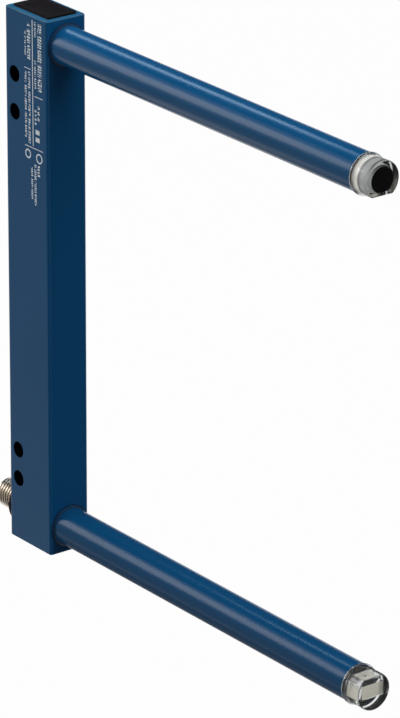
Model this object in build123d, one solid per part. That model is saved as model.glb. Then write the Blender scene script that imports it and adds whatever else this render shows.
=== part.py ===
from build123d import *
import math
import os

# Fork sensor: a flat rectangular column carries two round arms, one above the other. An emitter sits
# in the tip of the lower arm, a receiver in the tip of the upper one, and the beam crosses the gap.
# Millimetres. +Z up, the arms point along -Y. The origin lies on the common plane of the fixing holes,
# midway between the two outer ones and midway through the column.

# Fork: the clear gap and the reach that such a sensor is sold by
passage = 120.0
arm_diameter = 10.0
arm_wall = 0.6
arm_length = 118.5
arm_tip_chamfer = 0.15
weld_leg = 0.8
weld_land = 0.1

# Column: rectangular steel tube
column_width = 12.0
column_depth = 18.0
column_wall = 1.5
column_corner = 0.8
column_inner_corner = 0.4
column_rim_round = 0.3
arm_to_column_end = 7.0

# Fixing holes through the column
fixing_hole_diameter = 4.3
fixing_hole_from_back = 4.0
outer_hole_from_arm = 10.0
upper_hole_pitch = 10.0
lower_hole_pitch = 8.0

# End plugs of the column
plug_depth = 2.4
plug_proud = 0.6
plug_clearance = 0.1
plug_edge = 0.2
plug_dish_depth = 0.25
plug_dish_margin = 1.5
plug_dish_slope = 60.0

# Lens caps, clear plastic, glued into the arm tips
cap_reach = 6.0
cap_flange = 0.6
cap_flange_proud = 0.3
cap_flange_round = 0.15
cap_body_inset = 0.15
cap_hollow_height = 0.25
cap_hollow_length = 1.3
cap_end_round = 0.3
cap_flat_cut = 1.05
cap_spigot_length = 8.0
cap_spigot_wall = 0.65
cap_spigot_clearance = 0.05

# Optics behind the caps
optics_clearance = 0.1
beam_from_tip = 2.5
receiver_window_wall = 0.8
receiver_end_wall = 0.5
receiver_barrel_length = 1.2
receiver_barrel_inset = 0.15
receiver_well_depth = 0.9
receiver_chip_diameter = 1.1
emitter_block_width = 6.3
emitter_block_height = 3.4
emitter_block_lift = 0.15
emitter_block_from_tip = 0.4
emitter_end_wall = 1.0
emitter_aperture = 1.0
emitter_shoulder = 0.3
emitter_chip_diameter = 2.4
chip_height = 1.4
chip_clearance = 0.05

# Flat leads along the arms
lead_width = 3.0
lead_thickness = 0.5
lead_hole_step = 1.2

# Main circuit board, upright in the column
board_thickness = 1.0
board_corner = 0.5
board_from_front_wall = 0.5
board_from_holes = 0.85
board_end_gap = 0.6

# Plastic carriers that grip the board and line the fixing holes
carrier_clearance = 0.05
carrier_margin = 4.0
carrier_slot_depth = 0.5

# Round male connector, thread size M8 x 1
connector_from_end = 7.5
connector_thread = 8.0
connector_wall = 1.0
connector_shoulder = 0.5
connector_reach = 9.5
connector_lead_in = 0.5
connector_clearance = 0.05
collar_thickness = 1.0
collar_inset = 0.1
collar_round = 0.25
nut_thickness = 1.8
nut_wall = 0.5
nut_thread_spare = 0.3
socket_depth = 6.0
insert_tail = 0.6
key_width = 1.2
key_height = 0.7
key_inset = 1.0
pin_diameter = 1.0
pin_inset = 1.5
pin_tip_round = 0.3
pin_lap = 2.5

# Status light in the back of the column
light_below_holes = 12.0
light_guide_diameter = 3.0
light_guide_clearance = 0.05
light_guide_dome = 0.3
led_width = 2.0
led_height = 2.8
led_depth = 1.0
led_gap = 0.1

# Parts on the board: side along Z, side along Y, height off the board, and place along Z
processor_side = 5.0
processor_height = 1.0
processor_z = 18.0
regulator_length = 6.5
regulator_width = 3.5
regulator_height = 1.6
regulator_z = -24.0
capacitor_length = 3.2
capacitor_width = 2.5
capacitor_height = 1.6
capacitor_pitch = 7.0
capacitor_count = 3
capacitor_z = -3.0
resistor_length = 2.0
resistor_width = 1.25
resistor_height = 0.5
resistor_pitch = 5.0
resistor_count = 5
resistor_z = 6.0

# Places worked out from the sizes above
arm_radius = arm_diameter / 2
arm_z = passage / 2 + arm_radius
arm_bore_radius = arm_radius - arm_wall
lead_hole_radius = arm_bore_radius - lead_hole_step
column_height = 2 * (arm_z + arm_to_column_end)
back_y = fixing_hole_from_back
front_y = back_y - column_depth
column_y = (front_y + back_y) / 2
inner_width = column_width - 2 * column_wall
inner_depth = column_depth - 2 * column_wall
inner_front_y = front_y + column_wall
inner_back_y = back_y - column_wall
fixing_hole_radius = fixing_hole_diameter / 2
outer_hole_z = arm_z - outer_hole_from_arm
upper_inner_hole_z = outer_hole_z - upper_hole_pitch
lower_inner_hole_z = -outer_hole_z + lower_hole_pitch
tip_y = front_y - arm_length
cap_body_radius = arm_radius - cap_body_inset
cap_flat = cap_body_radius - cap_flat_cut
cap_spigot_radius = arm_bore_radius - cap_spigot_clearance
cap_bore_radius = cap_spigot_radius - cap_spigot_wall
optics_radius = cap_bore_radius - optics_clearance
receiver_flat = cap_flat - receiver_window_wall - optics_clearance
receiver_end = cap_reach - receiver_end_wall - optics_clearance
receiver_barrel_foot = receiver_end - receiver_barrel_length
receiver_face = receiver_flat - receiver_well_depth
emitter_end = cap_reach - emitter_end_wall - optics_clearance
board_face = board_thickness / 2
board_front_y = inner_front_y + board_from_front_wall
board_back_y = -fixing_hole_radius - board_from_holes
board_width = board_back_y - board_front_y
board_y = (board_front_y + board_back_y) / 2
board_length = column_height - 2 * (plug_depth + board_end_gap)
connector_z = connector_from_end - column_height / 2
thread_radius = connector_thread / 2
shank_radius = thread_radius - connector_shoulder
socket_radius = thread_radius - connector_wall
insert_radius = socket_radius - connector_clearance
shank_tail = column_wall + nut_thickness + nut_thread_spare
socket_floor = connector_reach - socket_depth
pin_radius = pin_diameter / 2
pin_spread = board_face + pin_radius
light_z = upper_inner_hole_z - light_below_holes
light_guide_radius = light_guide_diameter / 2


def turned(outline):
    """Solid turned about Z from a closed outline drawn as radius and height."""
    return revolve(Plane.XZ * make_face(outline), Axis.Z)


def along_arm(solid, side):
    """Lays a solid on an arm's tip: its +Z points outwards along the arm, its +Y towards the beam."""
    facing = Rot(0, 0, 180) if side > 0 else Rot(0, 0, 0)
    return Pos(0, tip_y, side * arm_z) * Rot(90, 0, 0) * facing * solid


def on_back(solid, z):
    """Sets a solid on the column's back face: its +Z points out of the face, its +Y down."""
    return Pos(0, back_y, z) * Rot(-90, 0, 0) * solid


def upright_bar(width, depth, corner, low_z, high_z):
    """Bar of rounded rectangular section around the column's middle line."""
    return Pos(0, column_y, low_z) * extrude(RectangleRounded(width, depth, corner), high_z - low_z)


def on_board(length, width, height, y, z):
    """Component soldered to the board's right side."""
    return Pos(board_face + height / 2, y, z) * Box(height, width, length)


def column_tube():
    half = column_height / 2
    outer = upright_bar(column_width, column_depth, column_corner, -half, half)
    rims = outer.faces().sort_by(Axis.Z)[0].edges() + outer.faces().sort_by(Axis.Z)[-1].edges()
    outer = fillet(rims, min(column_rim_round, 0.9 * column_corner))
    tube = outer - upright_bar(inner_width, inner_depth, column_inner_corner, -half - 1, half + 1)
    for z in (outer_hole_z, upper_inner_hole_z, lower_inner_hole_z, -outer_hole_z):
        tube -= Pos(0, 0, z) * Rot(0, 90, 0) * Cylinder(fixing_hole_radius, 2 * column_width)
    for side in (1, -1):
        lead_hole = Rot(90, 0, 0) * Cylinder(lead_hole_radius, 2 * column_wall)
        tube -= Pos(0, front_y, side * arm_z) * lead_hole
    tube -= on_back(Cylinder(shank_radius + connector_clearance, 3 * column_wall), connector_z)
    tube -= on_back(Cylinder(light_guide_radius + light_guide_clearance, 3 * column_wall), light_z)
    return tube


def arm_tube(side):
    """Round tube butted on the column's front face, with its weld's hollow fillet at the root."""
    root = -arm_length
    bend = weld_leg * (1 - math.sqrt(0.5))
    crown = root + weld_land
    edge = arm_tip_chamfer
    outline = Polyline((arm_bore_radius, root), (arm_radius + weld_leg, root), (arm_radius + weld_leg, crown))
    outline += ThreePointArc(
        (arm_radius + weld_leg, crown), (arm_radius + bend, crown + bend), (arm_radius, crown + weld_leg)
    )
    outline += Polyline(
        (arm_radius, crown + weld_leg), (arm_radius, -edge), (arm_radius - edge, 0), (arm_bore_radius, 0),
        (arm_bore_radius, root),
    )
    return along_arm(turned(outline), side)


def end_plug(side):
    """Plug pressed into the column's end, a little proud of the rim, with a shallow dish in its face."""
    width = inner_width - 2 * plug_clearance
    depth = inner_depth - 2 * plug_clearance
    low = column_height / 2 - plug_depth
    high = column_height / 2 + plug_proud
    plug = upright_bar(width, depth, column_inner_corner, low, high)
    plug = chamfer(plug.faces().sort_by(Axis.Z)[-1].edges(), plug_edge)
    mouth = Rectangle(width - 2 * plug_dish_margin, depth - 2 * plug_dish_margin)
    plug -= Pos(0, column_y, high) * extrude(mouth, -plug_dish_depth, taper=plug_dish_slope)
    return plug if side > 0 else mirror(plug, Plane.XY)


def flat_sided(radius, flat, low, high):
    """Round bar with one flat, which faces the beam."""
    section = Circle(radius) - Pos(0, flat + radius) * Rectangle(4 * radius, 2 * radius)
    return Pos(0, 0, low) * extrude(section, high - low)


def block_shaped(margin, low, high):
    """Bar of the emitter block's section, larger by margin all round."""
    section = Rectangle(emitter_block_width + 2 * margin, emitter_block_height + 2 * margin)
    return Pos(0, emitter_block_lift, low) * extrude(section, high - low)


def lens_cap(side):
    """Clear cap: a spigot, a flange with a hollow in front of it, and a body with one flat."""
    flange_radius = arm_radius + cap_flange_proud
    hollow_top = cap_flange + cap_hollow_length
    hollow_radius = (cap_hollow_length ** 2 + cap_hollow_height ** 2) / (2 * cap_hollow_height)
    half_angle = math.asin(cap_hollow_length / hollow_radius) / 2
    middle = (cap_body_radius + hollow_radius * (1 - math.cos(half_angle)),
              hollow_top - hollow_radius * math.sin(half_angle))
    foot = (cap_body_radius + cap_hollow_height, cap_flange)
    outline = Polyline((0, cap_reach), (0, -cap_spigot_length), (cap_spigot_radius, -cap_spigot_length),
                       (cap_spigot_radius, 0), (flange_radius, 0), (flange_radius, cap_flange), foot)
    outline += ThreePointArc(foot, middle, (cap_body_radius, hollow_top))
    outline += Polyline((cap_body_radius, hollow_top), (cap_body_radius, cap_reach), (0, cap_reach))
    cap = turned(outline)
    rims = cap.edges().filter_by(GeomType.CIRCLE)
    flange_edges = [rim for rim in rims if abs(rim.radius - flange_radius) < 0.001]
    cap = fillet(flange_edges, cap_flange_round)
    cap -= Pos(0, cap_flat + arm_radius, (cap_flange + 2 * cap_reach) / 2) * Box(
        4 * arm_radius, 2 * arm_radius, 2 * cap_reach - cap_flange
    )
    end = cap.faces().sort_by(Axis.Z)[-1]
    cap = fillet(end.edges(), cap_end_round)
    cap -= Pos(0, 0, -cap_spigot_length / 2) * Cylinder(cap_bore_radius, cap_spigot_length)
    if side > 0:
        cap -= flat_sided(cap_bore_radius, cap_flat - receiver_window_wall, 0, cap_reach - receiver_end_wall)
    else:
        cap -= block_shaped(optics_clearance, 0, cap_reach - emitter_end_wall)
    return along_arm(cap, side)


def spigot_filling():
    """Round foot of the optics, which fills the bore of the cap's spigot."""
    return Pos(0, 0, -cap_spigot_length / 2) * Cylinder(optics_radius, cap_spigot_length)


def along_beam(radius, low, high):
    """Round bar or bore whose middle line is the beam, from low to high."""
    return Pos(0, (low + high) / 2, beam_from_tip) * Rot(90, 0, 0) * Cylinder(radius, high - low)


def receiver_holder():
    """Pale holder with the chip at the bottom of a well that opens towards the beam."""
    holder = spigot_filling() + flat_sided(optics_radius, receiver_flat, 0, receiver_barrel_foot)
    holder -= along_beam(receiver_chip_diameter / 2 + chip_clearance, receiver_face - chip_height, arm_radius)
    return along_arm(holder, 1)


def receiver_barrel():
    """Short black barrel on the end of the holder, behind the cap's end wall."""
    radius = optics_radius - receiver_barrel_inset
    return along_arm(flat_sided(radius, receiver_flat, receiver_barrel_foot, receiver_end), 1)


def receiver_chip():
    return along_arm(along_beam(receiver_chip_diameter / 2, receiver_face - chip_height, receiver_face), 1)


def emitter_foot():
    """Dark foot that carries the block, with a neck of the block's own section."""
    return along_arm(spigot_filling() + block_shaped(0, 0, emitter_block_from_tip), -1)


def emitter_block():
    """Pale rectangular block with a small opening over its chip."""
    block = block_shaped(0, emitter_block_from_tip, emitter_end)
    block -= along_beam(emitter_chip_diameter / 2 + chip_clearance, -arm_radius, emitter_shoulder)
    block -= along_beam(emitter_aperture / 2, -arm_radius, arm_radius)
    return along_arm(block, -1)


def emitter_chip():
    low = emitter_shoulder - chip_height
    return along_arm(along_beam(emitter_chip_diameter / 2, low, emitter_shoulder), -1)


def arm_lead(side):
    """Flat lead down the middle of an arm, from the optics to the board's front edge."""
    far_y = tip_y + cap_spigot_length
    length = board_front_y - far_y
    return Pos(0, far_y + length / 2, side * arm_z) * Box(lead_width, length, lead_thickness)


def circuit_board():
    board = Box(board_thickness, board_width, board_length)
    board = fillet(board.edges().filter_by(Axis.X), board_corner)
    return Pos(0, board_y, 0) * board


def carrier(low_hole, high_hole):
    """Block behind the board, with a slot for its edge and two bores for the fixing screws."""
    front = board_back_y - carrier_slot_depth
    back = inner_back_y - carrier_clearance
    low = low_hole - carrier_margin
    high = high_hole + carrier_margin
    width = inner_width - 2 * carrier_clearance
    block = Pos(0, (front + back) / 2, (low + high) / 2) * Box(width, back - front, high - low)
    back_edges = block.edges().filter_by(Axis.Z).group_by(Axis.Y)[-1]
    block = fillet(back_edges, column_inner_corner)
    slot_width = board_thickness + 2 * carrier_clearance
    block -= Pos(0, front, (low + high) / 2) * Box(slot_width, 2 * carrier_slot_depth, 2 * (high - low))
    for z in (low_hole, high_hole):
        block -= Pos(0, 0, z) * Rot(0, 90, 0) * Cylinder(fixing_hole_radius, 2 * column_width)
    return block


def connector_shell():
    """Nickel-plated shell: threaded outside, with a shank that passes through the column's wall."""
    shell = turned(Polyline(
        (socket_radius, -shank_tail), (shank_radius, -shank_tail), (shank_radius, collar_thickness),
        (thread_radius, collar_thickness), (thread_radius, connector_reach - connector_lead_in),
        (thread_radius - connector_lead_in, connector_reach), (socket_radius, connector_reach), close=True,
    ))
    return on_back(shell, connector_z)


def connector_collar():
    """Black collar between the shell's shoulder and the column."""
    radius = column_width / 2 - collar_inset
    collar = Pos(0, 0, collar_thickness / 2) * Cylinder(radius, collar_thickness)
    collar = fillet(collar.faces().sort_by(Axis.Z)[-1].edges(), collar_round)
    collar -= Cylinder(shank_radius + connector_clearance, 4 * collar_thickness)
    return on_back(collar, connector_z)


def connector_nut():
    """Hexagon nut on the shank, tight against the inside of the column's back wall."""
    bore_radius = shank_radius + connector_clearance
    corner_radius = (bore_radius + nut_wall) / math.cos(math.pi / 6)
    hexagon = RegularPolygon(corner_radius, 6, rotation=30)
    nut = Pos(0, 0, -column_wall - nut_thickness) * extrude(hexagon - Circle(bore_radius), nut_thickness)
    return on_back(nut, connector_z)


def pin_places():
    return [(x, y) for x in (-pin_spread, pin_spread) for y in (-pin_spread, pin_spread)]


def connector_insert():
    """Insulating insert that holds the pins, with a coding key along the socket."""
    tail = shank_tail + insert_tail
    insert = Pos(0, 0, -tail) * extrude(Circle(insert_radius), tail + socket_floor)
    key_length = socket_depth - key_inset
    key_middle = socket_floor + key_length / 2
    key = Pos(0, -insert_radius, key_middle) * Box(key_width, 2 * key_height, key_length)
    insert += key & Pos(0, 0, key_middle) * Cylinder(insert_radius, key_length)
    for x, y in pin_places():
        insert -= Pos(x, y, 0) * Cylinder(pin_radius, 4 * connector_reach)
    return on_back(insert, connector_z)


def contact_pins():
    """Four pins; their tails straddle the board's edge, where they are soldered."""
    tail = board_back_y - pin_lap - back_y
    length = connector_reach - pin_inset - tail
    pin = Pos(0, 0, tail + length / 2) * Cylinder(pin_radius, length)
    pin = fillet(pin.faces().sort_by(Axis.Z)[-1].edges(), pin_tip_round)
    return Compound([on_back(Pos(x, y, 0) * pin, connector_z) for x, y in pin_places()])


def status_led():
    return Pos(0, board_back_y + led_depth / 2, light_z) * Box(led_width, led_depth, led_height)


def light_guide():
    """Clear rod from the light on the board's edge to a domed end in the column's back."""
    tail = board_back_y + led_depth + led_gap - back_y
    radius = light_guide_radius
    dome_radius = (radius ** 2 + light_guide_dome ** 2) / (2 * light_guide_dome)
    half_angle = math.asin(radius / dome_radius) / 2
    middle = (dome_radius * math.sin(half_angle),
              light_guide_dome - dome_radius * (1 - math.cos(half_angle)))
    outline = Polyline((0, light_guide_dome), (0, tail), (radius, tail), (radius, 0))
    outline += ThreePointArc((radius, 0), middle, (0, light_guide_dome))
    return on_back(turned(outline), light_z)


def processor():
    return on_board(processor_side, processor_side, processor_height, board_y, processor_z)


def regulator():
    return on_board(regulator_length, regulator_width, regulator_height, board_y, regulator_z)


def in_a_row(length, width, height, pitch, count, middle_z):
    first = middle_z - pitch * (count - 1) / 2
    return Compound([on_board(length, width, height, board_y, first + pitch * i) for i in range(count)])


def capacitors():
    return in_a_row(
        capacitor_length, capacitor_width, capacitor_height, capacitor_pitch, capacitor_count, capacitor_z
    )


def resistors():
    row = in_a_row(
        resistor_length, resistor_width, resistor_height, resistor_pitch, resistor_count, resistor_z
    )
    return mirror(row, Plane.YZ)


nodes = {
    "column_tube": column_tube(),
    "upper_arm_tube": arm_tube(1),
    "lower_arm_tube": arm_tube(-1),
    "top_end_plug": end_plug(1),
    "bottom_end_plug": end_plug(-1),
    "upper_lens_cap": lens_cap(1),
    "lower_lens_cap": lens_cap(-1),
    "receiver_holder": receiver_holder(),
    "receiver_barrel": receiver_barrel(),
    "receiver_chip": receiver_chip(),
    "emitter_foot": emitter_foot(),
    "emitter_block": emitter_block(),
    "emitter_chip": emitter_chip(),
    "upper_arm_lead": arm_lead(1),
    "lower_arm_lead": arm_lead(-1),
    "circuit_board": circuit_board(),
    "upper_carrier": carrier(upper_inner_hole_z, outer_hole_z),
    "lower_carrier": carrier(-outer_hole_z, lower_inner_hole_z),
    "processor": processor(),
    "regulator": regulator(),
    "capacitors": capacitors(),
    "resistors": resistors(),
    "connector_shell": connector_shell(),
    "connector_collar": connector_collar(),
    "connector_nut": connector_nut(),
    "connector_insert": connector_insert(),
    "contact_pins": contact_pins(),
    "status_led": status_led(),
    "light_guide": light_guide(),
}

os.makedirs("parts", exist_ok=True)
for name, solid in nodes.items():
    export_step(solid, f"parts/{name}.step")
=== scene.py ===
import math

import bmesh
import bpy
from mathutils import Matrix, Vector


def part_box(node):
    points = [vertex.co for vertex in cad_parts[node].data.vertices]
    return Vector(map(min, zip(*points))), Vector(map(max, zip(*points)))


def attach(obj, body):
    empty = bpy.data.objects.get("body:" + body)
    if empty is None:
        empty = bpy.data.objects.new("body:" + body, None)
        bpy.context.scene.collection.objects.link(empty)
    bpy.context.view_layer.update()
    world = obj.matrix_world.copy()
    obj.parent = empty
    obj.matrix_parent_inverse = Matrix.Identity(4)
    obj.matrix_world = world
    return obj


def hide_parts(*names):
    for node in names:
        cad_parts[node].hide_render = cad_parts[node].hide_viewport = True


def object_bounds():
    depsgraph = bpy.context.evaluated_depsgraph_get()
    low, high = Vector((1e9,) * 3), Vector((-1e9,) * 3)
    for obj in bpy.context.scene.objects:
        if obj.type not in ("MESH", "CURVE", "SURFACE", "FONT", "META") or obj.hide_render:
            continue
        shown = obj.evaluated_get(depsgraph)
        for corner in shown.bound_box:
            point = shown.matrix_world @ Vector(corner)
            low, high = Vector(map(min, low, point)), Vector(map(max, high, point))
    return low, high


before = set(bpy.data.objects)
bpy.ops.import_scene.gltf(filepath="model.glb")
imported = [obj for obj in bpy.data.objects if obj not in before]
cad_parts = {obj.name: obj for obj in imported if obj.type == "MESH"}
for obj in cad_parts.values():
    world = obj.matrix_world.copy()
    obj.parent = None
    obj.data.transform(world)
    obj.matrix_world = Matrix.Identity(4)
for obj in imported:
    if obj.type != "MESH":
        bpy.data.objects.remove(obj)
cad_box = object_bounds()

# Column: a length of 12 by 18 mm rectangular steel tube, cut square and drilled through its sides for
# the fixing screws. It is powder coated in satin blue once the arms are on; the walls of the fixing
# holes are coloured near black as painted shade.
mm = 0.001
paint_blue = (0.0038, 0.079, 0.205, 1)
paint_blue_thin = (0.0043, 0.086, 0.218, 1)
paint_roughness = 0.2
paint_roughness_spread = 0.06
rim_blue = (0.022, 0.120, 0.225, 1)
rim_depth = 0.3 * mm
hole_painted_shade = (0.0008, 0.0012, 0.0020, 1)
hole_shade_inset = 0.15 * mm
hole_half_width = 2.25 * mm
highest_hole = 60 * mm
paint_shade_patch = 22 * mm
paint_peel = 0.55 * mm
paint_peel_height = 0.004 * mm
print_white = (0.88, 0.96, 1.0, 1)
print_skin = 0.075 * mm
print_group = 5.4
print_group_share = 0.87
print_break = 0.42 * mm
print_break_level = 0.40
# Each line of the print: its edges along Y, its ends along Z, the pitch of its marks, and the share of
# the pitch that is inked. All in mm; a plain bar has no pitch. Marks stand in groups of a few and are
# broken up unevenly, as small print seen from afar.
print_lines = (
    (-7.98, -7.66, 38.0, 71.0, None, 1),
    (-11.70, -10.05, 53.0, 70.6, 0.70, 0.72),
    (-9.35, -8.60, 66.9, 70.8, 0.52, 0.66),
    (-9.35, -8.60, 53.4, 60.8, 0.58, 0.58),
    (-12.00, -8.60, 51.15, 51.37, None, 1),
    (-10.70, -9.90, 45.2, 49.6, 1.50, 0.60),
    (-9.35, -8.60, 43.9, 48.3, 1.10, 0.50),
    (-10.60, -8.90, 41.4, 42.6, None, 1),
    (-10.60, -8.90, 39.4, 40.6, None, 1),
    (-6.90, -5.60, 60.4, 69.8, 0.78, 0.72),
    (-5.05, -4.40, 61.2, 67.6, 0.50, 0.56),
    (-7.00, -4.25, 57.8, 58.0, None, 1),
    (-6.80, -5.90, 38.3, 57.2, 0.66, 0.70),
    (-5.25, -4.40, 39.6, 57.0, 0.66, 0.68),
    (-12.00, -4.25, 37.32, 37.53, None, 1),
    (-10.65, -9.65, 30.4, 33.4, 0.80, 0.66),
    (-9.15, -8.25, 22.4, 33.2, 0.62, 0.72),
    (-7.65, -6.90, 23.8, 32.2, 0.55, 0.64),
)
# Round marks under the print: the middle along Y and Z, the outer radius and the inner one.
print_rings = ((-5.6, 35.4, 1.25, 0.85), (-10.4, 35.2, 1.35, 0.95))


class Value:
    """A socket of a material. Adding, multiplying or comparing it adds the Math node that does so."""

    def __init__(self, finish, socket):
        self.finish = finish
        self.socket = socket

    def worked_out(self, operation, first, second=0.0):
        return self.finish.node("ShaderNodeMath", {"operation": operation}, {0: first, 1: second})

    def __add__(self, other):
        return self.worked_out("ADD", self, other)

    def __radd__(self, other):
        return self.worked_out("ADD", other, self)

    def __sub__(self, other):
        return self.worked_out("SUBTRACT", self, other)

    def __rsub__(self, other):
        return self.worked_out("SUBTRACT", other, self)

    def __mul__(self, other):
        return self.worked_out("MULTIPLY", self, other)

    def __rmul__(self, other):
        return self.worked_out("MULTIPLY", other, self)

    def __truediv__(self, other):
        return self.worked_out("DIVIDE", self, other)

    def __pow__(self, other):
        return self.worked_out("POWER", self, other)

    def __lt__(self, other):
        return self.worked_out("LESS_THAN", self, other)

    def __gt__(self, other):
        return self.worked_out("GREATER_THAN", self, other)

    def __abs__(self):
        return self.worked_out("ABSOLUTE", self)


class Finish:
    """A material, with one method that adds any node and a few short ones for what most finishes use."""

    def __init__(self, name, **surface):
        self.material = bpy.data.materials.new(name)
        self.material.use_nodes = True
        self.tree = self.material.node_tree
        self.surface = self.tree.nodes["Principled BSDF"]
        self.set(**surface)

    def feed(self, socket, value):
        if isinstance(value, Value):
            self.tree.links.new(value.socket, socket)
        else:
            socket.default_value = value

    def set(self, **surface):
        """Sets the surface's sockets; base_color stands for Base Color, and so on."""
        for words, value in surface.items():
            name = words.replace("_", " ").title().replace("Ior", "IOR")
            self.feed(self.surface.inputs[name], value)

    def node(self, kind, settings, inputs, output=0):
        made = self.tree.nodes.new(kind)
        for name, value in settings.items():
            setattr(made, name, value)
        for name, value in inputs.items():
            self.feed(made.inputs[name], value)
        return Value(self, made.outputs[output])

    def place(self):
        """Where a point of the surface is, in metres in the part's own frame."""
        return self.node("ShaderNodeTexCoord", {}, {}, "Object")

    def along(self, axis):
        return self.node("ShaderNodeSeparateXYZ", {}, {0: self.place()}, axis)

    def noise(self, size, detail=2.0, stretch=(1, 1, 1)):
        """Soft noise from 0 to 1, its patches about size across, drawn out by stretch along each axis."""
        scale = [1 / (size * s) for s in stretch]
        spread = self.node("ShaderNodeMapping", {}, {"Vector": self.place(), "Scale": scale})
        return self.node("ShaderNodeTexNoise", {}, {"Vector": spread, "Scale": 1.0, "Detail": detail})

    def blend(self, share, first, second):
        """The first colour where share is 0, and the second where it is 1."""
        return self.node("ShaderNodeMix", {"data_type": "RGBA"}, {0: share, 6: first, 7: second}, 2)

    def fraction(self, value):
        """What value has past the whole number below it."""
        return self.node("ShaderNodeMath", {"operation": "FRACT"}, {0: value})

    def bump(self, height, depth):
        """Normal of a surface whose relief goes from 0 to depth as height goes from 0 to 1."""
        return self.node("ShaderNodeBump", {}, {"Height": height, "Distance": depth, "Strength": 1.0})


def blue_paint(name):
    paint = Finish(name, specular_ior_level=0.2)
    shade = paint.noise(paint_shade_patch)
    peel = paint.noise(paint_peel)
    paint.set(
        base_color=paint.blend(shade, paint_blue, paint_blue_thin),
        roughness=paint_roughness + paint_roughness_spread * shade,
        normal=paint.bump(peel, paint_peel_height),
    )
    return paint


def printed(paint, x, y, z):
    """1 where the left face is printed: rows of plain marks along a rule, and two rings."""
    ink = 0
    whole = paint.noise(print_break, detail=0.0) > print_break_level
    for near, far, low, high, pitch, share in print_lines:
        line = (y > near * mm) * (y < far * mm) * (z > low * mm) * (z < high * mm)
        if pitch:
            marks = (z - low * mm) / (pitch * mm)
            line = line * (paint.fraction(marks) < share) * whole
            line = line * (paint.fraction(marks / print_group) < print_group_share)
        ink = ink + line
    for middle_y, middle_z, outer, inner in print_rings:
        away = ((y - middle_y * mm) ** 2 + (z - middle_z * mm) ** 2) ** 0.5
        ink = ink + (away < outer * mm) * (away > inner * mm)
    return (ink > 0.5) * (x < -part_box("column_tube")[1].x + print_skin)


def column_paint():
    """The blue paint, paler on the end rims, printed on the left, and near black in the fixing holes as
    painted shade.
    """
    paint = blue_paint("column_paint")
    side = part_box("column_tube")[1].x
    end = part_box("column_tube")[1].z
    x = paint.along("X")
    y = paint.along("Y")
    z = paint.along("Z")
    # Painted shade: the walls of the fixing holes are coloured near black.
    in_hole = (abs(x) < side - hole_shade_inset) * (abs(y) < hole_half_width) * (abs(z) < highest_hole)
    coat = Value(paint, paint.surface.inputs["Base Color"].links[0].from_socket)
    at_rim = abs(z) > end - rim_depth
    inked = paint.blend(printed(paint, x, y, z), paint.blend(at_rim, coat, rim_blue), print_white)
    paint.set(base_color=paint.blend(in_hole, inked, hole_painted_shade))
    return paint.material


def dress(node, material):
    """Gives a piece that keeps its own shape its finish."""
    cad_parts[node].material_slots[0].material = material


dress("column_tube", column_paint())

# Arms: two 10 mm round steel tubes, butted on the column's front face and welded all round, so each
# root has a small hollow bead with fine ripples. They are coated together with the column. The bead is
# coloured dark as painted shade at the root, and the lower arm's coat is darkened as painted shade.
arm_radius = 5 * mm
arm_bore_radius = 4.4 * mm
arm_tip_edge = 0.15 * mm
bead_leg = 0.8 * mm
bead_land = 0.1 * mm
bead_ripples = 31
bead_ripple_height = 0.045 * mm
bead_ripple_start = 0.01
bead_steps = 8
steps_round_arm = 248
weld_painted_shade = (0.0012, 0.024, 0.065, 1)
weld_dullness = 0.3
lower_arm_painted_shade = 0.2
same_point = 0.0005 * mm
sharp_turn = math.radians(32)


def finished(name, shape, material, slot, *nodes):
    """Makes a bmesh a shown piece that rides on the part and stands for the nodes named."""
    bmesh.ops.remove_doubles(shape, verts=shape.verts, dist=same_point)
    bmesh.ops.recalc_face_normals(shape, faces=shape.faces)
    mesh = bpy.data.meshes.new(name)
    shape.to_mesh(mesh)
    shape.free()
    mesh.shade_smooth()
    mesh.set_sharp_from_angle(angle=sharp_turn)
    mesh.materials.append(material)
    piece = bpy.data.objects.new(name, mesh)
    bpy.context.scene.collection.objects.link(piece)
    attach(piece, "root")
    if nodes:
        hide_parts(*nodes)
    return piece


def outline(shape, points, closed=True):
    """Adds a line through points and returns its vertices and edges, ready to spin or extrude."""
    corners = [shape.verts.new(point) for point in points]
    ends = corners[1:] + corners[:1] if closed else corners[1:]
    lines = [shape.edges.new(pair) for pair in zip(corners, ends)]
    return corners + lines


def turned(shape, points, centre, steps):
    """Spins a closed outline, drawn as radius and y, round the line through centre along Y."""
    drawn = outline(shape, [(centre.x + radius, y, centre.z) for radius, y in points])
    bmesh.ops.spin(
        shape, geom=drawn, cent=centre, axis=(0, 1, 0), angle=math.tau, steps=steps, use_merge=True
    )


def arm_paint():
    """The blue paint, dull on the weld, with painted shade that darkens the weld and the lower arm."""
    paint = blue_paint("arm_paint")
    coat = Value(paint, paint.surface.inputs["Base Color"].links[0].from_socket)
    dull = Value(paint, paint.surface.inputs["Roughness"].links[0].from_socket)
    weld = paint.along("Y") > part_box("upper_arm_tube")[1].y - bead_leg
    lower = paint.along("Z") < 0
    # Painted shade: the lower arm's coat is darkened, and the weld is coloured dark navy.
    coat = paint.blend(lower_arm_painted_shade * lower, coat, (0, 0, 0, 1))
    paint.set(base_color=paint.blend(weld, coat, weld_painted_shade), roughness=dull + weld_dullness * weld)
    return paint.material


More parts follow.
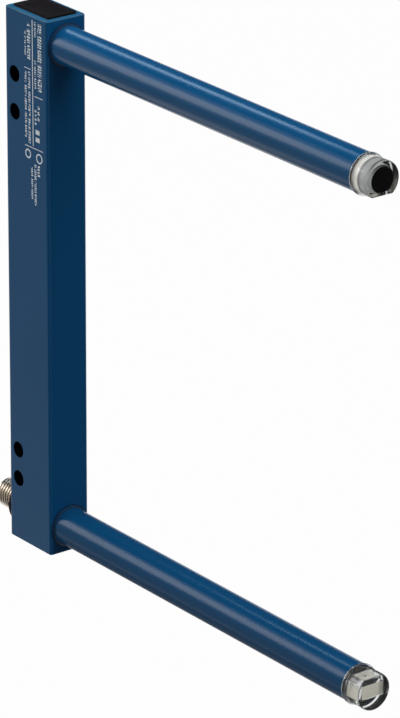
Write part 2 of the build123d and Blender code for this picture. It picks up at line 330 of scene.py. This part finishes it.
def welded_arm(name, paint):
    """An arm's tube, turned with the bead at its root, and the ripples pressed into the bead."""
    low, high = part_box(name)
    tip = low.y
    root = high.y
    centre = Vector((0, 0, (low.z + high.z) / 2))
    points = [(arm_bore_radius, root), (arm_radius + bead_leg, root)]
    for step in range(bead_steps + 1):
        turn = math.pi / 2 * step / bead_steps
        points.append((
            arm_radius + bead_leg * (1 - math.sin(turn)),
            root - bead_land - bead_leg * (1 - math.cos(turn)),
        ))
    points += [(arm_radius, tip + arm_tip_edge), (arm_radius - arm_tip_edge, tip), (arm_bore_radius, tip)]
    shape = bmesh.new()
    turned(shape, points, centre, steps_round_arm)
    for point in shape.verts:
        out = Vector((point.co.x, 0, point.co.z - centre.z))
        rise = (out.length - arm_radius) / bead_leg
        if rise > bead_ripple_start and root - point.co.y > bead_land / 2:
            ripple = math.sin(bead_ripples * math.atan2(out.z, out.x))
            point.co += out.normalized() * bead_ripple_height * ripple * math.sin(math.pi * min(rise, 1))
    return finished(name.replace("tube", "welded"), shape, paint, "blue_paint", name)


arm_coat = arm_paint()
welded_arm("upper_arm_tube", arm_coat)
welded_arm("lower_arm_tube", arm_coat)

# End plugs: black moulded plugs pressed into the column's ends, a little proud of the rim, with a
# shallow dish in the outer face.
black_deep = (0.0052, 0.0032, 0.0037, 1)
black_pale = (0.0080, 0.0055, 0.0060, 1)
black_tone_patch = 6 * mm
black_grain = 0.25 * mm
black_grain_height = 0.006 * mm


def black_moulding():
    black = Finish("black_moulding", specular_ior_level=0.08)
    grain = black.noise(black_grain)
    tone = black.noise(black_tone_patch)
    black.set(
        base_color=black.blend(tone, black_deep, black_pale),
        roughness=0.3 + 0.12 * grain,
        normal=black.bump(grain, black_grain_height),
    )
    return black.material


black_plastic = black_moulding()
for plug in ("top_end_plug", "bottom_end_plug"):
    dress(plug, black_plastic)

# Circuit board: green glass laminate, upright in the column, with its processor, regulator, three
# ceramic capacitors and five resistors soldered on.
board_mask = (0.006, 0.09, 0.028, 1)
board_mask_on_track = (0.02, 0.16, 0.05, 1)
board_relief = 0.03 * mm
board_weave = 0.4 * mm
board_track_pitch = 1.3 * mm
board_track_share = 0.3
board_track_wander = 1.5 * mm
board_track_bend = 14 * mm
epoxy_black = (0.012, 0.012, 0.013, 1)
epoxy_grain = 0.15 * mm
ceramic_grain = 0.2 * mm
fine_grain_height = 0.004 * mm
tin = (0.62, 0.6, 0.57, 1)
tin_polish = 0.2
capacitor_tan = (0.38, 0.22, 0.10, 1)
capacitor_length = 3.2 * mm
capacitor_pitch = 7 * mm
capacitor_end = 0.5 * mm
resistor_black = (0.015, 0.015, 0.016, 1)
resistor_length = 2 * mm
resistor_pitch = 5 * mm
resistor_end = 0.4 * mm


def board_green():
    """Green mask, paler over tracks that run up the board and wander a little."""
    board = Finish("board_green", specular_ior_level=0.5, roughness=0.35)
    wander = board_track_wander * board.noise(board_track_bend)
    lane = abs(board.fraction((board.along("Y") + wander) / board_track_pitch) - 0.5)
    track = lane < board_track_share / 2
    weave = board.noise(board_weave, stretch=(1, 1, 3))
    board.set(
        base_color=board.blend(track, board_mask, board_mask_on_track),
        normal=board.bump(0.6 * track + 0.2 * weave, board_relief),
    )
    return board.material


def chip_epoxy():
    epoxy = Finish("chip_epoxy", base_color=epoxy_black)
    grain = epoxy.noise(epoxy_grain)
    epoxy.set(roughness=0.5 + 0.2 * grain, normal=epoxy.bump(grain, fine_grain_height))
    return epoxy.material


def tinned_row(name, node, colour, length, pitch, end):
    """Ceramic bodies in a row along Z, whose ends are tinned."""
    low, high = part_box(node)
    ceramic = Finish(name)
    places = (ceramic.along("Z") - (low.z + high.z) / 2) / pitch + 0.5
    beside = abs(ceramic.fraction(places) - 0.5) * pitch
    tinned = beside > length / 2 - end
    grain = ceramic.noise(ceramic_grain)
    ceramic.set(
        base_color=ceramic.blend(tinned, colour, tin),
        metallic=tinned,
        roughness=0.5 - tin_polish * tinned,
        normal=ceramic.bump(grain, fine_grain_height),
    )
    dress(node, ceramic.material)


dress("circuit_board", board_green())
epoxy = chip_epoxy()
dress("processor", epoxy)
dress("regulator", epoxy)
tinned_row(
    "capacitor_ceramic", "capacitors", capacitor_tan, capacitor_length, capacitor_pitch, capacitor_end
)
tinned_row("resistor_ceramic", "resistors", resistor_black, resistor_length, resistor_pitch, resistor_end)

# Carriers: two black moulded blocks that grip the board's back edge and line the fixing holes, so a
# screw can be tightened without crushing the tube.
for carrier in ("upper_carrier", "lower_carrier"):
    dress(carrier, black_plastic)

# Arm leads: flat flexible leads, copper tracks between two amber films. Each runs down the middle of its
# arm and through the column's wall, from the optic to the board.
film_amber = (0.32, 0.12, 0.015, 1)
film_over_copper = (0.50, 0.20, 0.06, 1)
lead_track_pitch = 0.6 * mm
lead_track_share = 0.5
lead_track_height = 0.02 * mm


def amber_film():
    film = Finish("amber_film", specular_ior_level=0.5, roughness=0.28)
    lane = film.fraction(film.along("X") / lead_track_pitch + 0.5)
    copper = abs(lane - 0.5) < lead_track_share / 2
    film.set(
        base_color=film.blend(copper, film_amber, film_over_copper),
        normal=film.bump(copper, lead_track_height),
    )
    return film.material


film = amber_film()
for lead in ("upper_arm_lead", "lower_arm_lead"):
    dress(lead, film)

# Optics: the receiver is a black barrel on a grey holder, with its chip behind a small opening. The
# emitter is an ivory block on a black foot, with its chip behind a smaller one.
moulded_grain = 0.3 * mm
worn_share = 0.9
ivory = (0.69, 0.64, 0.54, 1)
clear_amber = (0.45, 0.36, 0.12, 1)
clear_amber_grain = 0.5 * mm
holder_silver = (0.34, 0.34, 0.34, 1)
holder_silver_pale = (0.42, 0.42, 0.41, 1)
holder_painted_highlight = (0.94, 0.90, 0.82, 1)
holder_highlight_end = 1.5 * mm
holder_fade = 0.5 * mm
holder_ring = 2.2 * mm
holder_ring_dark = (0.17, 0.16, 0.18, 1)
barrel_skin = 0.1 * mm
barrel_disc_radius = 3.2 * mm
barrel_disc_black = (0.0006, 0.0006, 0.0010, 1)
barrel_silver = (0.36, 0.37, 0.36, 1)
barrel_painted_shade = (0.045, 0.050, 0.046, 1)
barrel_end_shade = 0.75
barrel_end_fade = 5 * mm
barrel_end_tilt = 0.3
barrel_side_shade = 0.35
barrel_side_fade = 6.5 * mm
barrel_side_depth = 3.5


def plain_moulding(name, colour, roughness, grain_size):
    moulding = Finish(name)
    grain = moulding.noise(grain_size)
    moulding.set(
        base_color=moulding.blend(grain, colour, [worn_share * part for part in colour[:3]] + [1]),
        roughness=roughness + 0.1 * grain,
        normal=moulding.bump(grain, fine_grain_height),
    )
    return moulding.material


def pale_holder():
    """A painted highlight in cream by the flange, then a dark ring, and silvery further out."""
    holder = Finish("pale_holder", specular_ior_level=0.5)
    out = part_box("upper_arm_tube")[0].y - holder.along("Y")
    grain = holder.noise(moulded_grain)
    silvery = holder.blend(grain, holder_silver, holder_silver_pale)
    # Painted highlight: a cream band next to the flange.
    highlighted = holder.blend((out - holder_highlight_end) / holder_fade, holder_painted_highlight, silvery)
    banded = holder.blend(1 - abs(out - holder_ring) / holder_fade, highlighted, holder_ring_dark)
    holder.set(
        base_color=banded,
        roughness=0.4 + 0.1 * grain,
        normal=holder.bump(grain, fine_grain_height),
    )
    return holder.material


def barrel_black():
    """Deep black in the middle of the end face and silvery round it, darkened above and to the right by
    painted shade.
    """
    barrel = Finish("barrel_black", specular_ior_level=0.0)
    low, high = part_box("receiver_barrel")
    cap_low, cap_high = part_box("upper_lens_cap")
    across = barrel.along("X")
    inward = barrel.along("Y") - low.y
    upright = barrel.along("Z") - cap_low.z / 2 - cap_high.z / 2
    on_end = inward < barrel_skin
    middle = ((across ** 2 + upright ** 2) ** 0.5 < barrel_disc_radius) * on_end
    grain = barrel.noise(moulded_grain)
    # Painted shade: the end ring and the side darken towards the top and the right.
    end_shade = barrel_end_shade + (across + barrel_end_tilt * upright) / barrel_end_fade
    side_shade = barrel_side_shade + (across + upright) / barrel_side_fade
    side_shade = barrel_side_depth * side_shade * (1 - inward / (high.y - low.y))
    shaded = end_shade * on_end + side_shade * (1 - on_end)
    edge = barrel.blend(shaded, barrel_silver, barrel_painted_shade)
    barrel.set(
        base_color=barrel.blend(middle, edge, barrel_disc_black),
        roughness=0.5 + 0.1 * grain,
        normal=barrel.bump(grain, fine_grain_height),
    )
    return barrel.material


dress("receiver_holder", pale_holder())
dress("receiver_barrel", barrel_black())
dress("receiver_chip", epoxy)
dress("emitter_foot", black_plastic)
dress("emitter_block", plain_moulding("ivory_moulding", ivory, 0.45, moulded_grain))
dress("emitter_chip", plain_moulding("clear_epoxy", clear_amber, 0.2, clear_amber_grain))

# Lens caps: clear plastic mouldings, lightly smoked, glued into the arm tips, with a flange at the tube
# and a flat towards the beam. The emitter's block stands free in the pocket of its cap. The receiver is
# set in clear resin, so there cap and resin show as one clear body.
cap_spigot_radius = 4.35 * mm
cap_flange_radius = 5.3 * mm
cap_flange = 0.6 * mm
cap_flange_edge = 0.15 * mm
cap_body_radius = 4.85 * mm
cap_hollow_height = 0.25 * mm
cap_hollow_length = 1.3 * mm
cap_hollow_steps = 8
cap_flat = 3.8 * mm
cap_end_edge = 0.3 * mm
cap_corner = math.radians(60)
steps_round_cap = 144
hair = 0.001 * mm
clear_tint = (0.92, 0.93, 0.92, 1)
clear_flow = 2.5 * mm
clear_roughness = 0.13
plastic_ior = 1.49
clear_painted_shade = (0.20, 0.21, 0.20, 1)
painted_shade_side = 1.5 * mm
painted_shade_reach = 5 * mm


def smoked_clear(name, clearness, shade_strength):
    """Lightly smoked clear plastic, with painted shade that deepens towards the right side of its end; the
    last argument sets how strong it is.
    """
    clear = Finish(name, transmission_weight=clearness, ior=plastic_ior)
    out = (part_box("upper_arm_tube")[0].y - clear.along("Y")) / painted_shade_reach
    shaded_right = (clear.along("X") / painted_shade_side - 1) * out
    flow = clear.noise(clear_flow)
    clear.set(
        # Painted shade: the clear tint darkens towards the right side of the end.
        base_color=clear.blend(shade_strength * shaded_right, clear_tint, clear_painted_shade),
        roughness=clear_roughness + 0.03 * flow,
    )
    return clear.material


def rounded(shape, edges, width, segments):
    """Rounds some edges of a shape."""
    bmesh.ops.bevel(
        shape, geom=edges, offset=width, offset_type="OFFSET", segments=segments, profile=0.5,
        affect="EDGES", material=-1,
    )


def filled_cap(name, clear):
    """A cap's outer form without its pocket: turned, cut flat towards the beam, and rounded."""
    low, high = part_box(name)
    centre = Vector((0, 0, (low.z + high.z) / 2))
    towards_beam = Vector((0, 0, -1 if centre.z > 0 else 1))
    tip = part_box(name.replace("lens_cap", "arm_tube"))[0].y
    root = tip - cap_flange
    end = low.y
    hollow_radius = (cap_hollow_length ** 2 + cap_hollow_height ** 2) / (2 * cap_hollow_height)
    points = [
        (0, high.y), (cap_spigot_radius, high.y), (cap_spigot_radius, tip), (cap_flange_radius, tip),
        (cap_flange_radius, root),
    ]
    for step in range(cap_hollow_steps + 1):
        left = cap_hollow_length * (1 - step / cap_hollow_steps)
        rise = hollow_radius - math.sqrt(hollow_radius ** 2 - left ** 2)
        points.append((cap_body_radius + rise, root - cap_hollow_length + left))
    points += [(cap_body_radius, end), (0, end)]
    shape = bmesh.new()
    turned(shape, points, centre, steps_round_cap)
    bmesh.ops.remove_doubles(shape, verts=shape.verts, dist=hair)

    def beyond_root():
        return [face for face in shape.faces if face.calc_center_median().y < root - hair]

    def height_over_flat(point):
        return (point - centre).dot(towards_beam) - cap_flat

    body = beyond_root()
    lines = list(dict.fromkeys(line for face in body for line in face.edges))
    corners = list(dict.fromkeys(corner for face in body for corner in face.verts))
    bmesh.ops.bisect_plane(
        shape, geom=body + lines + corners, dist=hair,
        plane_co=centre + cap_flat * towards_beam, plane_no=towards_beam,
    )
    cut_off = [face for face in beyond_root() if height_over_flat(face.calc_center_median()) > 0]
    bmesh.ops.delete(shape, geom=cut_off, context="FACES")
    rim = [line for line in shape.edges if line.is_boundary]
    at_root = [line for line in rim if all(abs(corner.co.y - root) < hair for corner in line.verts)]
    root_corners = dict.fromkeys(corner for line in at_root for corner in line.verts)
    chord_ends = [corner for corner in root_corners if abs(height_over_flat(corner.co)) < hair]
    chord = shape.edges.new(chord_ends)
    bmesh.ops.contextual_create(shape, geom=at_root + [chord])
    bmesh.ops.contextual_create(shape, geom=[line for line in rim if line not in at_root] + [chord])
    end_faces = [face for face in shape.faces if face.calc_center_median().y < end + hair]
    bmesh.ops.dissolve_faces(shape, faces=end_faces)
    bmesh.ops.recalc_face_normals(shape, faces=shape.faces)
    rounded(shape, [
        line for line in shape.edges if all(corner.co.y < end + hair for corner in line.verts)
    ], cap_end_edge, 4)
    rounded(shape, [
        line for line in shape.edges
        if line.calc_face_angle(0) > cap_corner
        and min((corner.co - centre).xz.length for corner in line.verts) > cap_flange_radius - hair
    ], cap_flange_edge, 3)
    return finished(name + "_filled", shape, clear, "smoked_clear", name)


filled_cap("upper_lens_cap", smoked_clear("clear_resin", 1.0, 1.0))
dress("lower_lens_cap", smoked_clear("smoked_clear", 0.965, 0.4))

# Connector shell: turned brass, nickel plated, with an M8 x 1 thread cut on the outside. Its shank goes
# through the column's back and is held by a nut inside; a black collar sits between.
nickel_dull = (0.66, 0.57, 0.47, 1)
nickel_bright = (0.78, 0.70, 0.60, 1)
nickel_tarnish_patch = 3 * mm
nickel_turning = 0.08 * mm
nickel_turning_depth = 0.002 * mm
thread_radius = 4.0 * mm
thread_root_radius = 3.4 * mm
thread_pitch = 1.0 * mm
thread_crest = 0.14 * mm
thread_foot = 0.86 * mm
thread_bury = 0.06 * mm
thread_start = 1.9 * mm
thread_turns = 7
thread_run_out = 0.3
steps_round_thread = 60
shell_socket_radius = 3.0 * mm
shell_shank_radius = 3.5 * mm
shell_wall_end = 1.0 * mm
shell_shoulder = 0.4 * mm
shell_shoulder_slope = 0.2 * mm
shell_lead_in = 0.5 * mm
steps_round_shell = 96


def nickel_plate():
    nickel = Finish("nickel_plate", metallic=1.0)
    turning = nickel.noise(nickel_turning, stretch=(40, 1, 40))
    tarnish = nickel.noise(nickel_tarnish_patch)
    nickel.set(
        base_color=nickel.blend(tarnish, nickel_dull, nickel_bright),
        roughness=0.2 + 0.12 * turning,
        normal=nickel.bump(turning, nickel_turning_depth),
    )
    return nickel.material


def threaded_shell(name):
    """The turned shell with one tooth wound along it, faded out at both ends and chamfered at the mouth."""
    low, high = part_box(name)
    centre = Vector((0, 0, (low.z + high.z) / 2))
    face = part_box("column_tube")[1].y
    end = high.y
    shoulder = face + shell_wall_end
    shape = bmesh.new()
    turned(shape, [
        (shell_socket_radius, low.y), (shell_shank_radius, low.y), (shell_shank_radius, shoulder),
        (thread_radius, shoulder), (thread_radius, shoulder + shell_shoulder),
        (thread_root_radius, shoulder + shell_shoulder + shell_shoulder_slope),
        (thread_root_radius, end), (shell_socket_radius, end),
    ], centre, steps_round_shell)
    start = face + thread_start
    foot = thread_root_radius - thread_bury
    tooth = outline(shape, [
        (foot, start - thread_foot / 2, centre.z), (thread_radius, start - thread_crest / 2, centre.z),
        (thread_radius, start + thread_crest / 2, centre.z), (foot, start + thread_foot / 2, centre.z),
    ])
    steps = steps_round_thread * thread_turns
    half_step = 0.5 / steps_round_thread
    shape.faces.new([part for part in tooth if isinstance(part, bmesh.types.BMVert)])
    wound_tooth = bmesh.ops.spin(
        shape, geom=tooth, cent=centre, axis=(0, 1, 0), dvec=(0, thread_pitch / steps_round_thread, 0),
        angle=math.tau * thread_turns, steps=steps, use_merge=False,
    )
    shape.faces.new([part for part in wound_tooth["geom_last"] if isinstance(part, bmesh.types.BMVert)])
    for point in shape.verts:
        out = Vector((point.co.x, 0, point.co.z - centre.z))
        turn = (math.atan2(-out.z, out.x) / math.tau + half_step) % 1 - half_step
        allowed = thread_radius - max(0, point.co.y - (end - shell_lead_in))
        first_turn = (turn, turn)
        last_turn = (thread_turns - 1 + turn, 1 - turn)
        last_step = (thread_turns + turn, -turn)
        for wound, left in (first_turn, last_turn, last_step):
            beside = abs(point.co.y - start - thread_pitch * wound)
            if out.length > thread_root_radius + hair and beside < thread_foot / 2:
                allowed = min(allowed, foot + (thread_radius - foot) * left / thread_run_out)
        if out.length > allowed:
            point.co -= out.normalized() * (out.length - allowed)
    return finished("connector_threaded_shell", shape, nickel_plate(), "nickel_plate", name)


shell = threaded_shell("connector_shell")
dress("connector_nut", shell.material_slots[0].material)
dress("connector_collar", black_plastic)

# Connector insert and pins: a black moulded insert with a coding key sits in the shell and carries four
# gold-plated pins, whose tails are soldered to the board.
gold_deep = (0.72, 0.50, 0.18, 1)
gold_pale = (0.82, 0.60, 0.25, 1)
gold_patch = 0.6 * mm


def gold_plate():
    gold = Finish("gold_plate", metallic=1.0)
    wear = gold.noise(gold_patch)
    gold.set(
        base_color=gold.blend(wear, gold_deep, gold_pale),
        roughness=0.18 + 0.1 * wear,
    )
    return gold.material


dress("connector_insert", black_plastic)
dress("contact_pins", gold_plate())

# Status light: a small lamp on the board's edge, and a clear rod that carries its light to a domed end
# in the column's back.
window_amber = (0.72, 0.62, 0.30, 1)
window_amber_pale = (0.80, 0.72, 0.42, 1)
window_haze = 0.8 * mm
window_clearness = 0.6


def light_window():
    window = Finish("light_window", transmission_weight=window_clearness, ior=plastic_ior)
    haze = window.noise(window_haze)
    window.set(
        base_color=window.blend(haze, window_amber, window_amber_pale),
        roughness=0.15 + 0.1 * haze,
    )
    return window.material


window = light_window()
dress("status_led", window)
dress("light_guide", window)

# Floor: a wide pale sheet well below the part, white to the camera and in reflections, which still
# takes the part's soft shadow.
floor_drop = 0.30
floor_half = 4.0
floor_shade = 0.985
floor_grey = (0.25, 0.25, 0.25, 1)


def seen_by_eye(finish):
    """1 for the rays of the camera, of mirrors and of glass, and 0 for those that light a surface."""
    path = "ShaderNodeLightPath"
    seen = finish.node(path, {}, {}, "Is Camera Ray") + finish.node(path, {}, {}, "Is Glossy Ray")
    seen = seen + finish.node(path, {}, {}, "Is Transmission Ray")
    seen.socket.node.use_clamp = True
    return seen


def stage_white(name, shade):
    """White where the eye meets it; to all other light it is a matt grey sheet."""
    white = Finish(name, base_color=floor_grey, roughness=0.9, specular_ior_level=0.0)
    glow = white.node("ShaderNodeEmission", {}, {"Color": (1, 1, 1, 1), "Strength": 1.0})
    sheet = Value(white, white.surface.outputs[0])
    mixed = white.node("ShaderNodeMixShader", {}, {0: seen_by_eye(white) * shade, 1: sheet, 2: glow})
    white.feed(white.tree.nodes["Material Output"].inputs["Surface"], mixed)
    return white.material


def stage_sheet(name, material, across, along, matrix):
    """A flat rectangle of the studio, across by along, put in its place by matrix."""
    shape = bmesh.new()
    bmesh.ops.create_grid(shape, x_segments=1, y_segments=1, size=0.5)
    bmesh.ops.scale(shape, verts=shape.verts, vec=(across, along, 1))
    bmesh.ops.transform(shape, verts=shape.verts, matrix=matrix)
    mesh = bpy.data.meshes.new(name)
    shape.to_mesh(mesh)
    shape.free()
    mesh.materials.append(material)
    sheet = bpy.data.objects.new(name, mesh)
    bpy.context.scene.collection.objects.link(sheet)
    return sheet


stage_sheet(
    "floor", stage_white("floor_white", floor_shade), 2 * floor_half, 2 * floor_half,
    Matrix.Translation((0, 0, cad_box[0].z - floor_drop)),
)

# Light: large soft boxes above and above in front, smaller ones on the left, a narrow strip above on
# the right that draws the line along the arms, and a pale room for the rest.
room_fill = 0.12
part_middle = Vector((0, -65 * mm, 0))
cool_white = (0.80, 0.90, 1.0)
strip_blue = (0.60, 0.84, 1.0)
strip_place = Vector((0.0415, 0.085, 0.20))


class Room(Finish):
    """The world round the part, whose nodes are made as those of a finish are."""

    def __init__(self, name, **surface):
        world = bpy.data.worlds.new(name)
        world.use_nodes = True
        self.tree = world.node_tree
        self.surface = self.tree.nodes["Background"]
        self.set(**surface)
        bpy.context.scene.world = world


room = Room("studio", color=(1, 1, 1, 1))
room.set(strength=room_fill + (1 - room_fill) * seen_by_eye(room))


def soft_box(name, direction, distance, width, height, watts, colour=(1, 1, 1), in_mirrors=True):
    """Rectangular lamp that faces the part from a direction, its height upright as far as it can be."""
    lamp = bpy.data.lights.new(name, "AREA")
    lamp.shape = "RECTANGLE"
    lamp.size = width
    lamp.size_y = height
    lamp.energy = watts
    lamp.color = colour
    box = bpy.data.objects.new(name, lamp)
    box.visible_camera = False
    box.visible_glossy = in_mirrors
    away = Vector(direction).normalized()
    turn = away.to_track_quat("Z", "Y").to_matrix().to_4x4()
    box.matrix_world = Matrix.Translation(part_middle + away * distance) @ turn
    bpy.context.scene.collection.objects.link(box)
    return box


soft_box(
    "top_box", direction=(0.15, 0.1, 1.0), distance=1.3, width=0.9, height=0.9, watts=6.0, in_mirrors=False
)
soft_box(
    "left_box", direction=(-0.564, 0.740, 0.367), distance=0.85, width=0.31, height=0.31, watts=1.25
)
soft_box(
    "front_box", direction=(0.25, -0.75, 1.0), distance=1.2, width=1.0, height=0.8, watts=8.2,
    colour=cool_white, in_mirrors=False,
)
soft_box(
    "side_box", direction=(-1.0, 0.1, 0.2), distance=1.0, width=0.6, height=0.6, watts=2.2,
    in_mirrors=False,
)
strip = soft_box(
    "strip", direction=(0, 0, 1), distance=0.2, width=0.042, height=0.13, watts=0.115, colour=strip_blue
)
strip.matrix_world = Matrix.Translation(strip_place)

# Cards: studio flags that only mirror rays meet. A dark ceiling and dark cards in front keep the paint
# deep, and grey ones on the left and below dim the floor's reflection in the column's side and lower arm.
ceiling_height = 0.60
low_card_height = -0.30
front_card_direction = Vector((0.5628, -0.7395, -0.3693))
corner_card_direction = Vector((-0.74, -0.56, -0.37))
grey_card_place = Vector((-0.35, 0.35, -0.16))
quarter_turn = math.radians(90)


def card(name, shade, across, along, matrix):
    """A flag of an even shade from 0, black, to 1, white."""
    finish = Finish(
        name, base_color=(0, 0, 0, 1), specular_ior_level=0.0, emission_color=(shade, shade, shade, 1),
        emission_strength=1.0,
    )
    sheet = stage_sheet(name, finish.material, across, along, matrix)
    sheet.visible_camera = False
    sheet.visible_diffuse = False
    sheet.visible_shadow = False
    sheet.visible_transmission = False


def facing(direction, distance):
    """The place of a card that stands in a direction from the origin and faces it."""
    turn = direction.to_track_quat("Z", "Y").to_matrix().to_4x4()
    return Matrix.Translation(distance * direction) @ turn


def level_card(name, shade, low_x, high_x, low_y, high_y, z):
    """A level card between two values of X and two of Y."""
    middle = ((low_x + high_x) / 2, (low_y + high_y) / 2, z)
    card(name, shade, high_x - low_x, high_y - low_y, Matrix.Translation(middle))


level_card("dark_ceiling", shade=0.03, low_x=-0.30, high_x=6.0, low_y=0.15, high_y=6.0, z=ceiling_height)
level_card("low_card", shade=0.2, low_x=-0.22, high_x=0.12, low_y=0.08, high_y=0.29, z=low_card_height)
card("front_card", shade=0.07, across=0.34, along=0.34, matrix=facing(front_card_direction, 0.30))
card("corner_card", shade=0.05, across=0.44, along=0.44, matrix=facing(corner_card_direction, 0.32))
card(
    "grey_card", shade=0.50, across=0.42, along=1.0,
    matrix=Matrix.Translation(grey_card_place) @ Matrix.Rotation(quarter_turn, 4, "Y"),
)

# Camera: the photograph's view, from the left, above and far enough away that the column's edges run
# nearly parallel.
view_azimuth = math.radians(-37.272)
view_elevation = math.radians(21.673)
view_roll = math.radians(0.214)
view_distance = 1.2498
view_target = Vector((1.49 * mm, -67.26 * mm, -2.24 * mm))
lens_length = 255.32
sensor_side = 36.0
nearest_shown = 0.05
farthest_shown = 20

back = Vector((
    math.sin(view_azimuth) * math.cos(view_elevation),
    -math.cos(view_azimuth) * math.cos(view_elevation),
    math.sin(view_elevation),
))
level = Vector((math.cos(view_azimuth), math.sin(view_azimuth), 0))
upward = back.cross(level)
right = math.cos(view_roll) * level + math.sin(view_roll) * upward
up = math.cos(view_roll) * upward - math.sin(view_roll) * level
lens = bpy.data.cameras.new("photo_view")
lens.sensor_fit = "VERTICAL"
lens.sensor_height = sensor_side
lens.lens = lens_length
lens.clip_start = nearest_shown
lens.clip_end = farthest_shown
camera = bpy.data.objects.new("photo_view", lens)
turned_to = Matrix((right, up, back)).transposed().to_4x4()
camera.matrix_world = Matrix.Translation(view_target + view_distance * back) @ turned_to
bpy.context.scene.collection.objects.link(camera)
bpy.context.scene.camera = camera
bpy.context.scene.view_settings.view_transform = "Standard"
